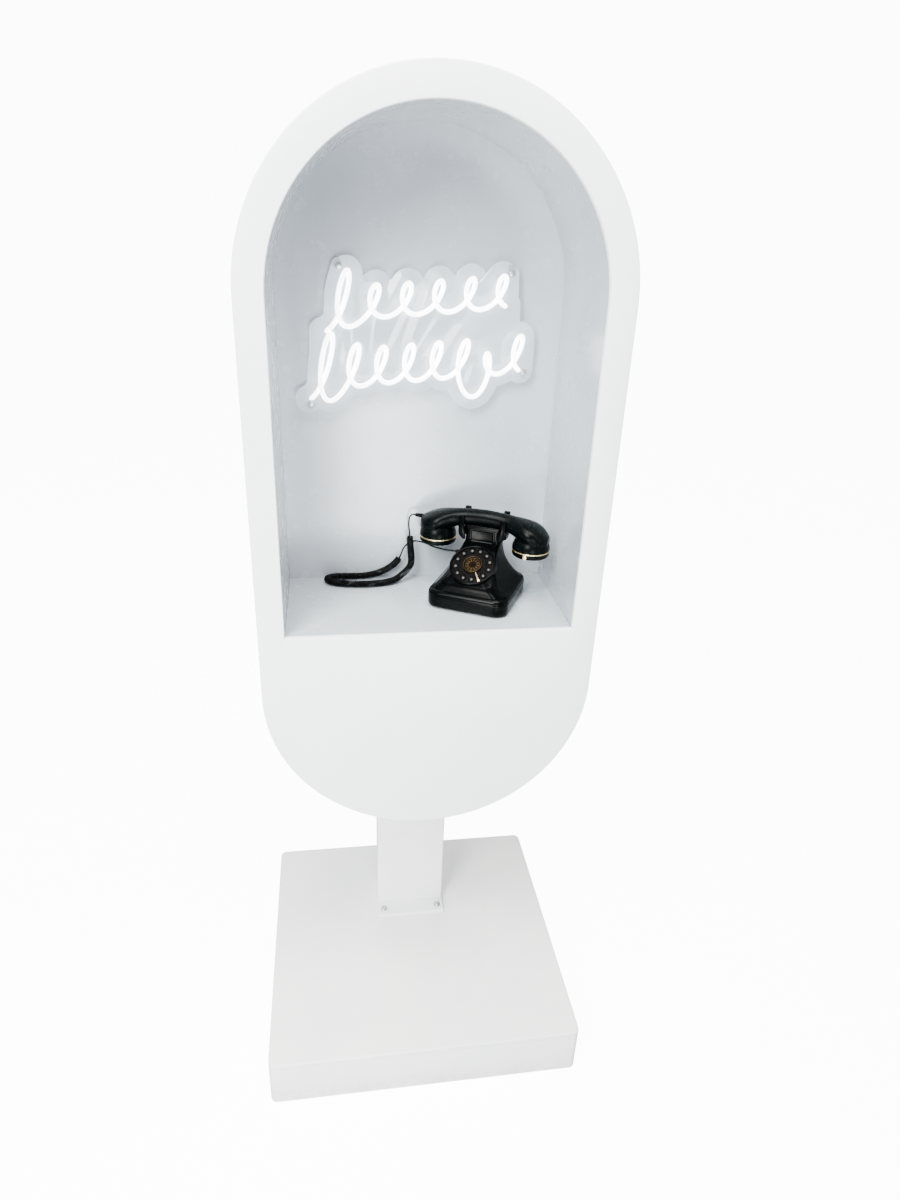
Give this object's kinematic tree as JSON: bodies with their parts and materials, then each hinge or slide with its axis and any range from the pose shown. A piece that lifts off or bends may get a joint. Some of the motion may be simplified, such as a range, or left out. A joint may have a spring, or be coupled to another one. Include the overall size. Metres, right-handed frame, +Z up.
{
  "type": "telephone message booth",
  "caption": "Freestanding capsule cabinet on a post and square base, with an arched niche that holds a neon sign and a corded push-button telephone.",
  "frame": {"origin": "centre of the underside of the base", "axes": "+Z up, the open niche faces -Y, +X to the right of someone facing the niche"},
  "size_m": [0.615, 0.575, 1.745],
  "materials": {
    "white_lacquer": "white satin lacquer on board",
    "white_enamel": "white satin enamel",
    "timber": "planed, bare",
    "zinc_steel": "bright zinc plate",
    "raw_steel": "mill scale",
    "clear_acrylic": "clear, polished",
    "neon_silicone": "lit white silicone",
    "grey_plastic": "moulded",
    "black_plastic": "moulded",
    "black_gloss": "polished black",
    "rubber": "matte",
    "brass": "polished",
    "circuit_board": "solder mask",
    "capsule_metal": "drawn can",
    "cord_vinyl": "satin vinyl",
    "key_metal": "satin chrome"
  },
  "bodies": {
    "booth": {"front_panel": "white_lacquer", "outer_band": "white_lacquer", "back_panel": "white_lacquer", "niche_arch": "white_lacquer", "niche_floor": "white_lacquer", "frame_battens": "timber", "shelf_battens": "timber", "stiffener_plate": "timber", "cabinet_screws": "zinc_steel", "post": "white_enamel", "post_cap": "white_enamel", "post_flange": "white_enamel", "post_bolts": "zinc_steel", "flange_bolts": "zinc_steel", "base_top": "white_lacquer", "base_skirt": "white_lacquer", "base_bottom": "timber", "ballast_plate": "raw_steel", "post_block": "timber", "sign_board": "clear_acrylic", "sign_tube_upper": "neon_silicone", "sign_tube_lower": "neon_silicone", "sign_standoffs": "zinc_steel", "sign_driver": "grey_plastic", "power_inlet": "black_plastic", "phone_body": "black_gloss", "phone_base_plate": "black_plastic", "phone_feet": "rubber", "neck_panel": "black_gloss", "cradle": "black_gloss", "dial_bezel": "black_gloss", "dial_face": "black_gloss", "dial_badge": "brass", "finger_stop": "brass", "keypad_board": "circuit_board", "recorder_board": "circuit_board", "battery_pack": "grey_plastic", "hook_switch": "grey_plastic", "cord_socket": "black_plastic", "handset_cord": "cord_vinyl"},
    "key_1": {"key_1": "key_metal"},
    "key_2": {"key_2": "key_metal"},
    "key_3": {"key_3": "key_metal"},
    "key_4": {"key_4": "key_metal"},
    "key_5": {"key_5": "key_metal"},
    "key_6": {"key_6": "key_metal"},
    "key_7": {"key_7": "key_metal"},
    "key_8": {"key_8": "key_metal"},
    "key_9": {"key_9": "key_metal"},
    "key_10": {"key_10": "key_metal"},
    "key_11": {"key_11": "key_metal"},
    "key_12": {"key_12": "key_metal"},
    "hook": {"hook_plunger": "black_plastic"},
    "handset": {"handset_shell": "black_gloss", "receiver_cap": "black_gloss", "transmitter_cap": "black_gloss", "cup_rings": "brass", "receiver_capsule": "capsule_metal", "microphone_capsule": "capsule_metal", "cord_relief": "black_plastic"}
  },
  "joints": [
    {"name": "key_1_press", "type": "slide", "parent": "booth", "child": "key_1", "axis": [0.2539, 0.4982, -0.829], "range_m": [0, 0.002], "stiffness_N_per_m": 150, "springref_m": -0.0015},
    {"name": "key_2_press", "type": "slide", "parent": "booth", "child": "key_2", "axis": [0.2539, 0.4982, -0.829], "range_m": [0, 0.002], "stiffness_N_per_m": 150, "springref_m": -0.0015},
    {"name": "key_3_press", "type": "slide", "parent": "booth", "child": "key_3", "axis": [0.2539, 0.4982, -0.829], "range_m": [0, 0.002], "stiffness_N_per_m": 150, "springref_m": -0.0015},
    {"name": "key_4_press", "type": "slide", "parent": "booth", "child": "key_4", "axis": [0.2539, 0.4982, -0.829], "range_m": [0, 0.002], "stiffness_N_per_m": 150, "springref_m": -0.0015},
    {"name": "key_5_press", "type": "slide", "parent": "booth", "child": "key_5", "axis": [0.2539, 0.4982, -0.829], "range_m": [0, 0.002], "stiffness_N_per_m": 150, "springref_m": -0.0015},
    {"name": "key_6_press", "type": "slide", "parent": "booth", "child": "key_6", "axis": [0.2539, 0.4982, -0.829], "range_m": [0, 0.002], "stiffness_N_per_m": 150, "springref_m": -0.0015},
    {"name": "key_7_press", "type": "slide", "parent": "booth", "child": "key_7", "axis": [0.2539, 0.4982, -0.829], "range_m": [0, 0.002], "stiffness_N_per_m": 150, "springref_m": -0.0015},
    {"name": "key_8_press", "type": "slide", "parent": "booth", "child": "key_8", "axis": [0.2539, 0.4982, -0.829], "range_m": [0, 0.002], "stiffness_N_per_m": 150, "springref_m": -0.0015},
    {"name": "key_9_press", "type": "slide", "parent": "booth", "child": "key_9", "axis": [0.2539, 0.4982, -0.829], "range_m": [0, 0.002], "stiffness_N_per_m": 150, "springref_m": -0.0015},
    {"name": "key_10_press", "type": "slide", "parent": "booth", "child": "key_10", "axis": [0.2539, 0.4982, -0.829], "range_m": [0, 0.002], "stiffness_N_per_m": 150, "springref_m": -0.0015},
    {"name": "key_11_press", "type": "slide", "parent": "booth", "child": "key_11", "axis": [0.2539, 0.4982, -0.829], "range_m": [0, 0.002], "stiffness_N_per_m": 150, "springref_m": -0.0015},
    {"name": "key_12_press", "type": "slide", "parent": "booth", "child": "key_12", "axis": [0.2539, 0.4982, -0.829], "range_m": [0, 0.002], "stiffness_N_per_m": 150, "springref_m": -0.0015},
    {"name": "handset_lift", "type": "slide", "parent": "booth", "child": "handset", "axis": [0, 0, 1], "range_m": [0, 0.1]},
    {"name": "hook_rise", "type": "slide", "parent": "booth", "child": "hook", "axis": [0, 0, 1], "range_m": [0, 0.005]}
  ],
  "couplings": [
    {"joint": "hook_rise", "follows": "handset_lift", "ratio": 0.05}
  ]
}
